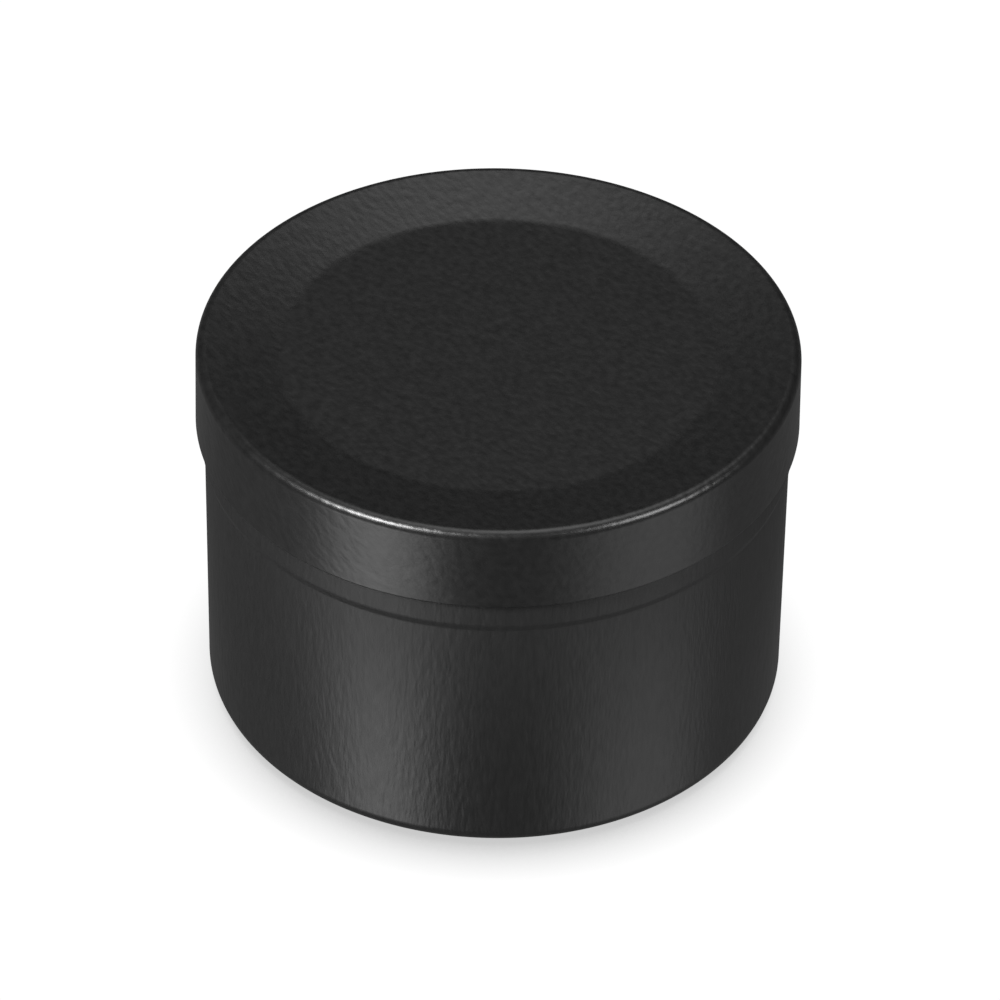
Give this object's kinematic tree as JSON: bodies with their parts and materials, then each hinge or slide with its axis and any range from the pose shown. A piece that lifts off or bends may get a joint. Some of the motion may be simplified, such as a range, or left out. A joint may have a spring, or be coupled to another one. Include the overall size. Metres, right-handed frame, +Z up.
{
  "type": "candle tin",
  "caption": "Round seamless metal tin with a slip-on lid: straight wall, rolled-in mouth, and a lid with a rounded rim sloping down to a sunken flat panel.",
  "frame": {"origin": "centre of the base, on the plane that the tin stands on", "axes": "+Z up along the tin's axis, out through the lid; X and Y are any two directions across it"},
  "size_m": [0.0802, 0.0802, 0.054],
  "materials": {
    "body_paint": "satin black coating over drawn tinplate",
    "lid_paint": "satin black coating over drawn tinplate"
  },
  "bodies": {
    "tin": {"tin_body": "body_paint"},
    "cover": {"lid": "lid_paint"}
  },
  "joints": [
    {"name": "lid_lift", "type": "slide", "parent": "tin", "child": "cover", "axis": [0, 0, 1], "range_m": [0, 0.09]}
  ]
}
